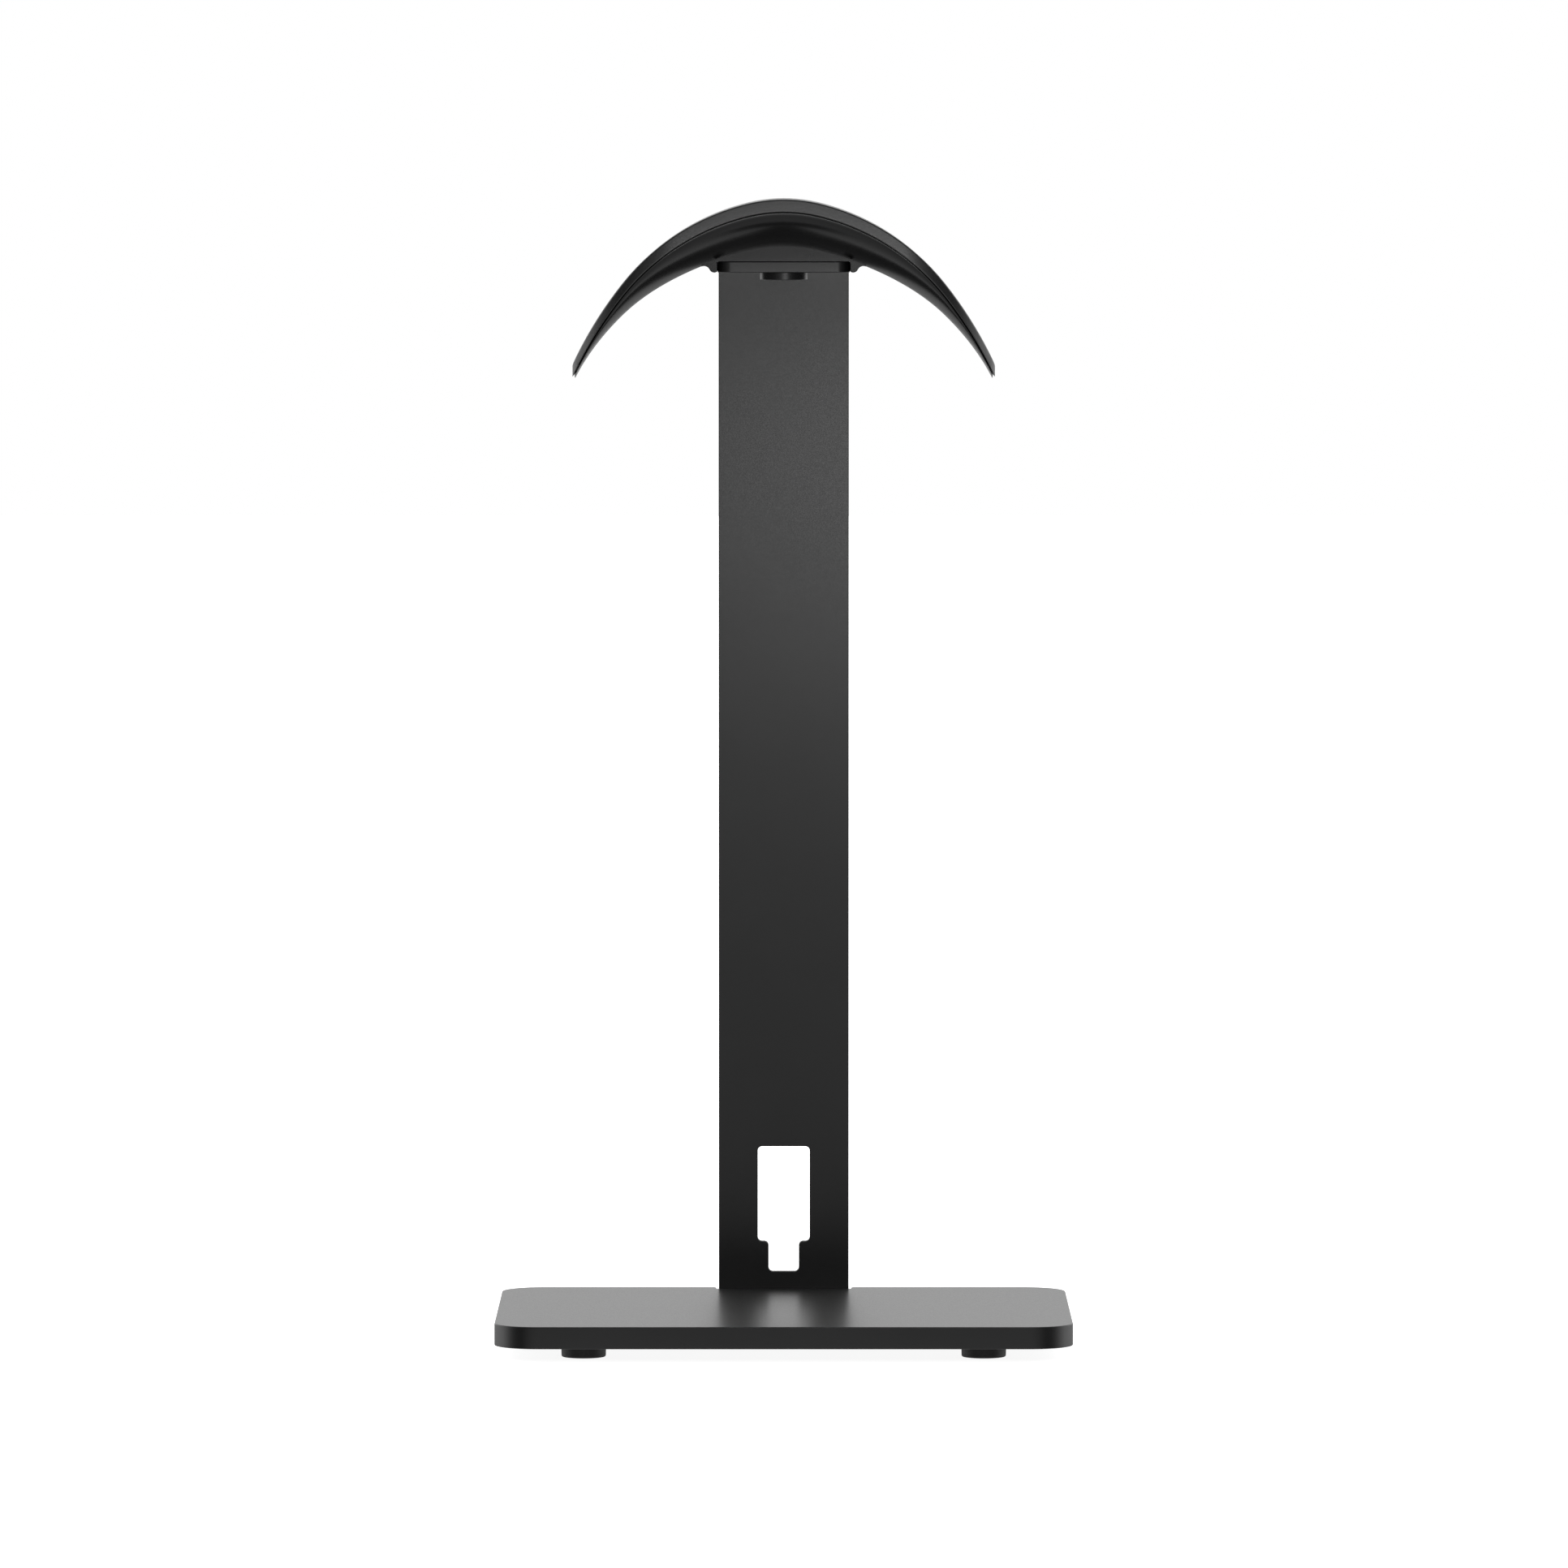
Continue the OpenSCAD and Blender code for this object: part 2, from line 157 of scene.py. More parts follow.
# Bends sharper than these many degrees stay sharp in the shading
SHARP_ANGLE = 35
BODY_SHARP_ANGLE = 30
FOOT_SHARP_ANGLE = 40


def box_mm(node):
    low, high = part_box(node)
    return low / MM, high / MM


BASE_LOW, BASE_HIGH = box_mm("base_plate")
STRIP_LOW, STRIP_HIGH = box_mm("upright")
REST_LOW, REST_HIGH = box_mm("rest_cover")
SCREW_LOW, SCREW_HIGH = box_mm("rest_screw")
REST_TOP = REST_HIGH.z
REST_HALF_W = REST_HIGH.x
REST_HALF_D = (REST_HIGH.y - REST_LOW.y) / 2
REST_Y = (REST_HIGH.y + REST_LOW.y) / 2
FLANGE_TOP = STRIP_HIGH.z
FLANGE_BOTTOM = FLANGE_TOP - STRIP_T


# ---- Shapes of the rest ----

CROWN_CZ = REST_TOP - CROWN_R
SHOULDER_CX = (CROWN_R - SHOULDER_R) * math.sin(CROWN_ANGLE)
SHOULDER_CZ = CROWN_CZ + (CROWN_R - SHOULDER_R) * math.cos(CROWN_ANGLE)
FLANK_CX = SHOULDER_CX + (SHOULDER_R - FLANK_R) * math.sin(SHOULDER_ANGLE)
FLANK_CZ = SHOULDER_CZ + (SHOULDER_R - FLANK_R) * math.cos(SHOULDER_ANGLE)
TIP_CX = REST_HALF_W - TIP_R
SIDE_CY = REST_HALF_D - SIDE_R
TIP_CY = SIDE_CY + (SIDE_R - TIP_R - math.sin(TAPER_ANGLE) * (TIP_CX - SIDE_CX)) / math.cos(TAPER_ANGLE)


def curve_arc(x):
    """Centre and radius of the arc of the rest's top curve at x."""
    if abs(x) < CROWN_R * math.sin(CROWN_ANGLE):
        return 0, CROWN_CZ, CROWN_R
    if abs(x) < SHOULDER_CX + SHOULDER_R * math.sin(SHOULDER_ANGLE):
        return SHOULDER_CX, SHOULDER_CZ, SHOULDER_R
    return FLANK_CX, FLANK_CZ, FLANK_R


def top_z(x):
    cx, cz, r = curve_arc(x)
    return cz + math.sqrt(r * r - (abs(x) - cx) ** 2)


def steepness(x):
    """How much longer a distance across the rest's skin is when it is measured upright."""
    cx, cz, r = curve_arc(x)
    return r / math.sqrt(r * r - (abs(x) - cx) ** 2)


def gap_at(x):
    """Height of the shadow gap between the cover and the body at x."""
    return CROWN_GAP + (TIP_GAP - CROWN_GAP) * (abs(x) / REST_HALF_W) ** GAP_POWER


def lip_z(x):
    return top_z(x) - COVER_T - gap_at(x)


def body_depth(x):
    edge = gap_at(x) + LIP_H + TIP_BULGE
    share = max(0.0, 1 - (abs(x) / REST_HALF_W) ** THINNING_POWER[0])
    return edge + (BODY_H - edge) * share ** THINNING_POWER[1]


def under_z(x, t):
    edge = gap_at(x) + LIP_H
    return top_z(x) - COVER_T - edge - (body_depth(x) - edge) * max(0.0, 1 - t * t) ** BULGE_POWER


def outline_columns():
    """Stations from one tip of the rest to the other: the side, and what outline_point needs."""
    right = [("middle", k / MIDDLE_STEPS) for k in range(1, MIDDLE_STEPS)]
    right += [("side", k / SIDE_STEPS) for k in range(SIDE_STEPS)]
    right += [("taper", k / TAPER_STEPS) for k in range(TAPER_STEPS)]
    right += [("tip", k / TIP_STEPS) for k in range(TIP_STEPS + 1)]
    left = [(-1, part, share) for part, share in reversed(right)]
    return left + [(1, "middle", 0.0)] + [(1, part, share) for part, share in right]


def outline_point(column, inset):
    """x, half depth and how far the edge faces front or back, for the outline moved inwards by inset."""
    side, part, share = column
    side_r = SIDE_R - inset
    tip_r = TIP_R - inset
    if part == "middle":
        return side * SIDE_CX * share, SIDE_CY + side_r, 1.0
    if part == "side":
        angle = TAPER_ANGLE * share
        x = SIDE_CX + side_r * math.sin(angle)
        return side * x, SIDE_CY + side_r * math.cos(angle), math.cos(angle)
    if part == "tip":
        angle = TAPER_ANGLE + (math.pi / 2 - TAPER_ANGLE) * share
        x = TIP_CX + tip_r * math.sin(angle)
        return side * x, TIP_CY + tip_r * math.cos(angle), math.cos(angle)
    start_x = SIDE_CX + side_r * math.sin(TAPER_ANGLE)
    end_x = TIP_CX + tip_r * math.sin(TAPER_ANGLE)
    start_y = SIDE_CY + side_r * math.cos(TAPER_ANGLE)
    end_y = TIP_CY + tip_r * math.cos(TAPER_ANGLE)
    x = start_x + (end_x - start_x) * share
    return side * x, start_y + (end_y - start_y) * share, math.cos(TAPER_ANGLE)


COLUMNS = outline_columns()
ACROSS = [math.sin(math.pi / 2 * j / ACROSS_STEPS) for j in range(-ACROSS_STEPS, ACROSS_STEPS + 1)]
LAST_I = len(COLUMNS) - 1
LAST_J = len(ACROSS) - 1
PERIMETER = (
    [(i, 0) for i in range(LAST_I + 1)]
    + [(LAST_I, j) for j in range(1, LAST_J + 1)]
    + [(i, LAST_J) for i in range(LAST_I - 1, -1, -1)]
    + [(0, j) for j in range(LAST_J - 1, 0, -1)]
)


def rest_sheet(bm, inset, height):
    """A grid of faces over the outline moved inwards by inset. Returns its edge as a ring."""
    rows = []
    for column in COLUMNS:
        x, half, _ = outline_point(column, inset)
        rows.append([bm.verts.new((x, REST_Y + t * half, height(x, t))) for t in ACROSS])
    for i in range(LAST_I):
        for j in range(LAST_J):
            bm.faces.new((rows[i][j], rows[i + 1][j], rows[i + 1][j + 1], rows[i][j + 1]))
    return [rows[i][j] for i, j in PERIMETER]


def rest_ring(bm, inset, height):
    """A ring of vertices on the outline moved inwards by inset; height takes x, t and the edge's facing."""
    ring = []
    for i, j in PERIMETER:
        x, half, facing = outline_point(COLUMNS[i], inset)
        ring.append(bm.verts.new((x, REST_Y + ACROSS[j] * half, height(x, ACROSS[j], facing))))
    return ring


# ---- Mesh helpers ----


def quarter(steps):
    return [math.pi / 2 * k / steps for k in range(steps + 1)]


def rounded_loop(corners):
    """Points of a closed loop of right-angled corners, each given as x, y and its radius."""
    loop = []
    for i, (x, y, radius) in enumerate(corners):
        corner = Vector((x, y))
        if radius == 0:
            loop.append(corner)
            continue
        before = (Vector(corners[i - 1][:2]) - corner).normalized()
        after = (Vector(corners[(i + 1) % len(corners)][:2]) - corner).normalized()
        centre = corner + (before + after) * radius
        for a in quarter(CORNER_STEPS + CORNER_STEPS_PER_MM * round(radius)):
            loop.append(centre - after * radius * math.cos(a) - before * radius * math.sin(a))
    return loop


def circle_loop(cx, cy, radius, steps=CIRCLE_STEPS):
    angles = [2 * math.pi * k / steps for k in range(steps)]
    return [Vector((cx + radius * math.cos(a), cy + radius * math.sin(a))) for a in angles]


def hex_loop(cx, cy, across_flats):
    return circle_loop(cx, cy, across_flats / 2 / math.cos(math.pi / 6), 6)


def moved_in(loop, inset):
    """The loop moved to its left by inset: inwards for a counter-clockwise loop."""
    moved = []
    for i, point in enumerate(loop):
        before = (point - loop[i - 1]).normalized()
        after = (loop[(i + 1) % len(loop)] - point).normalized()
        normal_before = Vector((-before.y, before.x))
        normal_after = Vector((-after.y, after.x))
        mitre = (normal_before + normal_after) / (1 + normal_before.dot(normal_after))
        moved.append(point + mitre * inset)
    return moved


def edge_profile(bottom, top, radius):
    """Pairs of inset and height up a wall whose two edges are rounded."""
    arc = [(radius * (1 - math.sin(a)), radius * (1 - math.cos(a))) for a in quarter(EDGE_STEPS)]
    return [(inset, bottom + h) for inset, h in arc] + [(inset, top - h) for inset, h in reversed(arc)]


def add_rings(bm, loop, profile):
    """A ring of vertices for each pair of inset and height."""
    return [[bm.verts.new((p.x, p.y, h)) for p in moved_in(loop, inset)] for inset, h in profile]


def add_walls(bm, rings):
    for low, high in zip(rings, rings[1:]):
        for i in range(len(low)):
            bm.faces.new((low[i - 1], low[i], high[i], high[i - 1]))


def add_cap(bm, rings):
    """Fills the flat face between an outer ring and the rings inside it."""
    if len(rings) == 1:
        bm.faces.new(rings[0])
        return
    edges = []
    for ring in rings:
        for i in range(len(ring)):
            edges.append(bm.edges.get((ring[i - 1], ring[i])) or bm.edges.new((ring[i - 1], ring[i])))
    bmesh.ops.triangle_fill(bm, use_beauty=True, edges=edges)


def add_slab(bm, outline, profile, holes=()):
    """A slab with an outline, and through holes given as pairs of clockwise loop and profile."""
    walls = [add_rings(bm, outline, profile)]
    walls += [add_rings(bm, loop, hole_profile) for loop, hole_profile in holes]
    for rings in walls:
        add_walls(bm, rings)
    add_cap(bm, [rings[0] for rings in walls])
    add_cap(bm, [rings[-1] for rings in walls])


def add_screw(bm, cx, cy, bottom, steps, socket_af, socket_depth):
    """A screw that points up, from pairs of radius and height, with a hexagon socket in its underside."""
    rings = []
    for radius, h in steps:
        rings.append([bm.verts.new((p.x, p.y, bottom + h)) for p in circle_loop(cx, cy, radius)])
    add_walls(bm, rings)
    add_cap(bm, [rings[-1]])
    socket_loop = hex_loop(cx, cy, socket_af)
    mouth = [bm.verts.new((p.x, p.y, bottom)) for p in socket_loop]
    floor_ring = [bm.verts.new((p.x, p.y, bottom + socket_depth)) for p in socket_loop]
    add_walls(bm, [mouth, floor_ring])
    add_cap(bm, [floor_ring])
    add_cap(bm, [rings[0], mouth])


def new_object(name, bm):
    """Turns a mesh in millimetres into a smooth-shaded object in metres."""
    bmesh.ops.recalc_face_normals(bm, faces=bm.faces)
    bmesh.ops.scale(bm, vec=(MM, MM, MM), verts=bm.verts)
    mesh = bpy.data.meshes.new(name)
    bm.to_mesh(mesh)
    bm.free()
    mesh.shade_smooth()
    thing = bpy.data.objects.new(name, mesh)
    bpy.context.scene.collection.objects.link(thing)
    return thing


def add_face_normals(piece):
    piece.modifiers.new("face_normals", "WEIGHTED_NORMAL").keep_sharp = True


def make_piece(name, bm, node, material, sharp_angle=SHARP_ANGLE):
    """A smooth-shaded piece that stands for a CAD node."""
    piece = new_object(name, bm)
    piece.data.set_sharp_from_angle(angle=math.radians(sharp_angle))
    piece.data.materials.append(material)
    add_face_normals(piece)
    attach(piece, "root")
    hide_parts(node)
    return piece


# ---- Materials ----

PATCH_SCALE = 60
NOISE_DETAIL = 3.0
RAMP_SPAN = (0.35, 0.65)


def new_material(name):
    material = bpy.data.materials.new(name)
    material.use_nodes = True
    nodes = material.node_tree.nodes
    nodes.clear()
    output = nodes.new("ShaderNodeOutputMaterial")
    shader = nodes.new("ShaderNodeBsdfPrincipled")
    material.node_tree.links.new(shader.outputs["BSDF"], output.inputs["Surface"])
    return material, shader


def add_noise(material, scale, detail):
    """Noise that keeps its real size: scale is in cells per metre."""
    nodes, links = material.node_tree.nodes, material.node_tree.links
    place = nodes.new("ShaderNodeTexCoord")
    noise = nodes.new("ShaderNodeTexNoise")
    noise.inputs["Scale"].default_value = scale
    noise.inputs["Detail"].default_value = detail
    links.new(place.outputs["Object"], noise.inputs["Vector"])
    return noise.outputs["Fac"]


def add_ramp(material, factor, low, high):
    """Colours or greys between low and high, picked by a factor."""
    ramp = material.node_tree.nodes.new("ShaderNodeValToRGB")
    for stop, position, value in zip(ramp.color_ramp.elements, RAMP_SPAN, (low, high)):
        stop.position = position
        stop.color = (*value, 1) if hasattr(value, "__len__") else (value, value, value, 1)
    material.node_tree.links.new(factor, ramp.inputs["Fac"])
    return ramp.outputs["Color"]


def add_bump(material, shader, height, strength, distance):
    bump = material.node_tree.nodes.new("ShaderNodeBump")
    bump.inputs["Strength"].default_value = strength
    bump.inputs["Distance"].default_value = distance
    material.node_tree.links.new(height, bump.inputs["Height"])
    material.node_tree.links.new(bump.outputs["Normal"], shader.inputs["Normal"])


def grained_material(name, dark, light, rough, grain, bump, metallic=0.0, level=0.5):
    """A coated, moulded or bare surface: soft colour patches, fine grain in gloss and relief.

    rough is the least and most roughness, grain the cells per metre, bump the strength and depth."""
    material, shader = new_material(name)
    links = material.node_tree.links
    shader.inputs["Metallic"].default_value = metallic
    shader.inputs["Specular IOR Level"].default_value = level
    patch = add_noise(material, PATCH_SCALE, NOISE_DETAIL)
    links.new(add_ramp(material, patch, dark, light), shader.inputs["Base Color"])
    fine = add_noise(material, grain, NOISE_DETAIL)
    links.new(add_ramp(material, fine, rough[0], rough[1]), shader.inputs["Roughness"])
    add_bump(material, shader, fine, bump[0], bump[1])
    return material


def make_materials():
    return {
        "black_metal": grained_material(
            "black_coating", dark=(0.0105, 0.0106, 0.0108), light=(0.0140, 0.0141, 0.0144),
            rough=(0.28, 0.34), grain=4200, bump=(0.10, 0.00003)
        ),
        "grained_plastic": grained_material(
            "cover_grain", dark=(0.008, 0.008, 0.0083), light=(0.011, 0.011, 0.0114),
            rough=(0.28, 0.36), grain=2600, bump=(0.25, 0.00005), level=0.85
        ),
        "satin_plastic": grained_material(
            "body_satin", dark=(0.009, 0.009, 0.0093), light=(0.012, 0.012, 0.0124),
            rough=(0.20, 0.25), grain=3600, bump=(0.08, 0.00003), level=0.36
        ),
        "foot_rubber": grained_material(
            "foot_rubber", dark=(0.011, 0.011, 0.011), light=(0.017, 0.017, 0.017),
            rough=(0.5, 0.65), grain=2500, bump=(0.3, 0.00005), level=0.4
        ),
        "foot_adhesive": grained_material(
            "adhesive_foam", dark=(0.03, 0.03, 0.03), light=(0.06, 0.06, 0.06),
            rough=(0.75, 0.9), grain=3000, bump=(0.5, 0.00006), level=0.2
        ),
        "black_screw": grained_material(
            "black_oxide", dark=(0.012, 0.012, 0.0125), light=(0.02, 0.02, 0.021),
            rough=(0.26, 0.34), grain=3500, bump=(0.06, 0.00002)
        ),
        "screw_steel": grained_material(
            "zinc_plate", dark=(0.45, 0.45, 0.46), light=(0.62, 0.62, 0.62),
            rough=(0.28, 0.42), grain=2500, bump=(0.1, 0.00002), metallic=1.0
        ),
        "insert_brass": grained_material(
            "brass", dark=(0.62, 0.43, 0.17), light=(0.78, 0.58, 0.28),
            rough=(0.25, 0.4), grain=2500, bump=(0.1, 0.00002), metallic=1.0
        ),
    }


# ---- Pieces ----


def base_outline(pocket_y=None):
    """The base from above; pocket_y adds the pocket of the foot flange to the notch."""
    half_w, half_d = BASE_HIGH.x, BASE_HIGH.y
    notch_half = STRIP_HIGH.x + NOTCH_GAP
    notch_y = half_d - NOTCH_DEPTH
    notch = [(notch_half, notch_y, 0), (-notch_half, notch_y, 0)]
    if pocket_y is not None:
        pocket = [(notch_half, pocket_y, 0), (-notch_half, pocket_y, 0)]
        notch = [notch[0], *pocket, notch[1]]
    corners = [(x, y, BASE_CORNER_R) for x, y in ((-half_w, -half_d), (half_w, -half_d), (half_w, half_d))]
    corners += [(notch_half, half_d, CUT_R), *notch, (-notch_half, half_d, CUT_R)]
    corners += [(-half_w, half_d, BASE_CORNER_R)]
    return rounded_loop(corners)


def make_base_plate(material):
    bm = bmesh.new()
    pocket_top = BASE_LOW.z + STRIP_T
    pocket_y = STRIP_HIGH.y - FOOT_FLANGE_L - NOTCH_GAP
    profile = edge_profile(BASE_LOW.z, BASE_HIGH.z, BASE_EDGE_R)
    lower = add_rings(bm, base_outline(pocket_y), profile[: EDGE_STEPS + 1] + [(0, pocket_top)])
    upper = add_rings(bm, base_outline(), [(0, pocket_top)] + profile[EDGE_STEPS + 1 :])
    add_walls(bm, lower)
    add_walls(bm, upper)
    add_cap(bm, [lower[0]])
    add_cap(bm, [upper[-1]])
    bmesh.ops.remove_doubles(bm, verts=bm.verts, dist=MERGE_DISTANCE)
    notch_half = STRIP_HIGH.x + NOTCH_GAP
    notch_y = BASE_HIGH.y - NOTCH_DEPTH
    ceiling = [v for v in bm.verts if abs(v.co.z - pocket_top) < SAME_PLACE]
    ceiling = [v for v in ceiling if abs(abs(v.co.x) - notch_half) < SAME_PLACE]
    ceiling = [v for v in ceiling if v.co.y < notch_y + SAME_PLACE]
    ceiling.sort(key=lambda v: math.atan2(v.co.y - BASE_HIGH.y / 2, v.co.x))
    bm.faces.new(ceiling)
    make_piece("base", bm, "base_plate", material)


def strip_place(x, s, t):
    """Where a point of the flat strip lies once it is bent.

    s is the distance from the foot flange's tip, and t the one from the outer face."""
    y_bend = STRIP_HIGH.y - BEND_OUTER_R
    low_bend_z = STRIP_LOW.z + BEND_OUTER_R
    high_bend_z = STRIP_HIGH.z - BEND_OUTER_R
    foot_l, bend_l, column_l = strip_lengths()
    r = BEND_OUTER_R - t
    if s <= foot_l:
        return x, y_bend - foot_l + s, STRIP_LOW.z + t
    if s <= foot_l + bend_l:
        a = (s - foot_l) / bend_l * math.pi / 2
        return x, y_bend + r * math.sin(a), low_bend_z - r * math.cos(a)
    if s <= foot_l + bend_l + column_l:
        return x, STRIP_HIGH.y - t, low_bend_z + s - foot_l - bend_l
    if s <= foot_l + 2 * bend_l + column_l:
        a = (s - foot_l - bend_l - column_l) / bend_l * math.pi / 2
        return x, y_bend + r * math.cos(a), high_bend_z + r * math.sin(a)
    return x, y_bend - (s - foot_l - 2 * bend_l - column_l), STRIP_HIGH.z - t


def strip_lengths():
    """Lengths of the foot flange's flat part, of a bend and of the column's flat part."""
    column = STRIP_HIGH.z - STRIP_LOW.z - 2 * BEND_OUTER_R
    return FOOT_FLANGE_L - BEND_OUTER_R, math.pi / 2 * BEND_OUTER_R, column


def cable_loop(shift):
    """The stepped cable opening, clockwise; shift turns a height into a place along the strip."""
    low, step, high = (z + shift for z in (CABLE_Z, PLUG_Z[0], PLUG_Z[1]))
    left = [(-CABLE_HALF, low), (-CABLE_HALF, step), (-PLUG_HALF, step), (-PLUG_HALF, high)]
    right = [(-x, z) for x, z in reversed(left)]
    return rounded_loop([(x, z, CUT_R) for x, z in left + right])


def screw_places(node, head_r):
    """Middles of a node's four screws, left to right and front to back."""
    low, high = box_mm(node)
    return [(x, y) for x in (low.x + head_r, high.x - head_r) for y in (low.y + head_r, high.y - head_r)]


def make_upright(material):
    bm = bmesh.new()
    foot_l, bend_l, column_l = strip_lengths()
    top_l = STRIP_HIGH.y - BEND_OUTER_R - STRIP_LOW.y
    total_l = foot_l + 2 * bend_l + column_l + top_l
    half_w = STRIP_HIGH.x
    r = FLANGE_CORNER_R
    outline = rounded_loop([(-half_w, 0, r), (half_w, 0, r), (half_w, total_l, r), (-half_w, total_l, r)])
    shift = foot_l + bend_l - STRIP_LOW.z - BEND_OUTER_R
    wall = edge_profile(0, STRIP_T, STRIP_EDGE_R)
    cone = M3_HEAD_R - M3_CLEAR_R
    holes = [(cable_loop(shift), wall)]
    rest_screw_y = (SCREW_LOW.y + SCREW_HIGH.y) / 2
    screw_s = total_l - (rest_screw_y - STRIP_LOW.y)
    holes.append((circle_loop(0, screw_s, M4_CLEAR_R, HOLE_STEPS)[::-1], [(0, 0), (0, STRIP_T)]))
    foot_y = STRIP_HIGH.y - FOOT_FLANGE_L
    for x, y in screw_places("base_screws", M3_HEAD_R):
        loop = circle_loop(x, y - foot_y, M3_CLEAR_R, HOLE_STEPS)[::-1]
        holes.append((loop, [(cone, 0), (0, cone), (0, STRIP_T)]))
    add_slab(bm, outline, wall, holes)
    for start in (foot_l, foot_l + bend_l + column_l):
        for k in range(BEND_STEPS + 1):
            cut = start + bend_l * k / BEND_STEPS
            geometry = bm.verts[:] + bm.edges[:] + bm.faces[:]
            bmesh.ops.bisect_plane(
                bm, geom=geometry, plane_co=(0, cut, 0), plane_no=(0, 1, 0), dist=CUT_DISTANCE
            )
    for v in bm.verts:
        v.co = strip_place(*v.co)
    make_piece("strip", bm, "upright", material)


def make_rest_cover(material):
    bm = bmesh.new()
    rings = [rest_sheet(bm, COVER_TOP_EDGE_R, lambda x, t: top_z(x))]
    for a in quarter(COVER_EDGE_STEPS)[1:]:
        rings.append(cover_edge_ring(bm, a, COVER_TOP_EDGE_R, 0, 1))
    for a in reversed(quarter(COVER_EDGE_STEPS)[1:]):
        rings.append(cover_edge_ring(bm, a, COVER_LOW_EDGE_R, COVER_T, -1))
    rings.append(rest_sheet(bm, COVER_LOW_EDGE_R, lambda x, t: top_z(x) - COVER_T))
    add_walls(bm, rings)
    make_piece("rest_cover_shell", bm, "rest_cover", material)


def cover_edge_ring(bm, angle, radius, depth, way):
    """A ring of the cover's rounded edge.

    depth is that of the face which the edge rounds, and way is 1 on top and -1 below."""
    drop = radius * (1 - math.cos(angle))

    def height(x, t, facing):
        return top_z(x) - depth - way * drop * (1 + (steepness(x) - 1) * facing ** 2)

    return rest_ring(bm, radius * (1 - math.sin(angle)), height)


def add_bulge(bm):
    """The body under the cover: a neck in the shadow gap, an upright lip and the bulging underside."""
    rings = [rest_sheet(bm, NECK_INSET, lambda x, t: top_z(x) - COVER_T)]
    rings.append(rest_ring(bm, NECK_INSET, lambda x, t, facing: lip_z(x)))
    for a in quarter(LIP_EDGE_STEPS):
        drop = LIP_EDGE_R * (1 - math.cos(a))
        inset = LIP_INSET + LIP_EDGE_R * (1 - math.sin(a))
        rings.append(rest_ring(bm, inset, lambda x, t, facing, drop=drop: lip_z(x) - drop))
    rings.append(rest_sheet(bm, LIP_INSET, under_z))
    add_walls(bm, rings)


def block_side():
    """Points of the block's right half from the channel's corner up to its top."""
    channel_half = STRIP_HIGH.x + BLOCK_CLEAR
    rib_cx = STRIP_HIGH.x + RIB_OFFSET
    rib_cz = FLANGE_BOTTOM + RIB_R
    inner_from = math.asin((channel_half - rib_cx) / RIB_R)
    hollow_cx = rib_cx + (RIB_R + HOLLOW_R) * math.sin(HOLLOW_FROM)
    hollow_cz = rib_cz - (RIB_R + HOLLOW_R) * math.cos(HOLLOW_FROM)
    points = [(channel_half, FLANGE_TOP)]
    for k in range(RIB_STEPS + 1):
        a = inner_from + (HOLLOW_FROM - inner_from) * k / RIB_STEPS
        points.append((rib_cx + RIB_R * math.sin(a), rib_cz - RIB_R * math.cos(a)))
    for k in range(HOLLOW_STEPS + 1):
        a = -HOLLOW_FROM + (HOLLOW_TO + HOLLOW_FROM) * k / HOLLOW_STEPS
        points.append((hollow_cx + HOLLOW_R * math.sin(a), hollow_cz + HOLLOW_R * math.cos(a)))
    side_x = points[-1][0] + BLOCK_CLEAR / 2
    points.append((side_x, FLANGE_TOP))
    for k in range(BLOCK_TOP_STEPS):
        x = side_x * (1 - k / BLOCK_TOP_STEPS)
        points.append((x, top_z(x) - COVER_T - LIP_H))
    return points


def add_block(bm):
    """The block under the rest: its outline from the front, drawn out to the back."""
    right = block_side()
    loop = [Vector(p) for p in right] + [Vector((0, top_z(0) - COVER_T - LIP_H))]
    loop += [Vector((-x, z)) for x, z in reversed(right)]
    rings = add_rings(bm, loop, edge_profile(0, BLOCK_L, BLOCK_EDGE_R))
    add_walls(bm, rings)
    add_cap(bm, [rings[0]])
    add_cap(bm, [rings[-1]])
    for v in bm.verts:
        x, z, y = v.co
        v.co = (x, STRIP_LOW.y + y, z)


def make_rest_body(material):
    """The bulge with the block joined to it."""
    bulge = bmesh.new()
    add_bulge(bulge)
    body = make_piece("rest_underbody", bulge, "rest_body", material)
    block = bmesh.new()
    add_block(block)
    tool = new_object("block", block)
    body.modifiers.clear()
    joined = body.modifiers.new("block", "BOOLEAN")
    joined.operation = "UNION"
    joined.solver = "EXACT"
    joined.object = tool
    graph = bpy.context.evaluated_depsgraph_get()
    merged = bpy.data.meshes.new_from_object(body.evaluated_get(graph))
    body.modifiers.clear()
    body.data = merged
    bpy.data.objects.remove(tool)
    merged.shade_smooth()
    merged.set_sharp_from_angle(angle=math.radians(BODY_SHARP_ANGLE))
    merged.materials.clear()
    merged.materials.append(material)
    add_face_normals(body)


def make_rest_screw(material):
    bm = bmesh.new()
    cx = (SCREW_LOW.x + SCREW_HIGH.x) / 2
    cy = (SCREW_LOW.y + SCREW_HIGH.y) / 2
    head_r = (SCREW_HIGH.x - SCREW_LOW.x) / 2
    length = SCREW_HIGH.z - SCREW_LOW.z
    edge = 0.18
    point = 0.4
    steps = [(head_r - inset, h) for inset, h in edge_profile(0, M4_HEAD_H, edge)]
    steps += [(M4_R, M4_HEAD_H), (M4_R, length - point), (M4_R - point, length)]
    add_screw(bm, cx, cy, SCREW_LOW.z, steps, LARGE_SOCKET_AF, SOCKET_DEPTH)
    make_piece("rest_screw_flat_head", bm, "rest_screw", material)


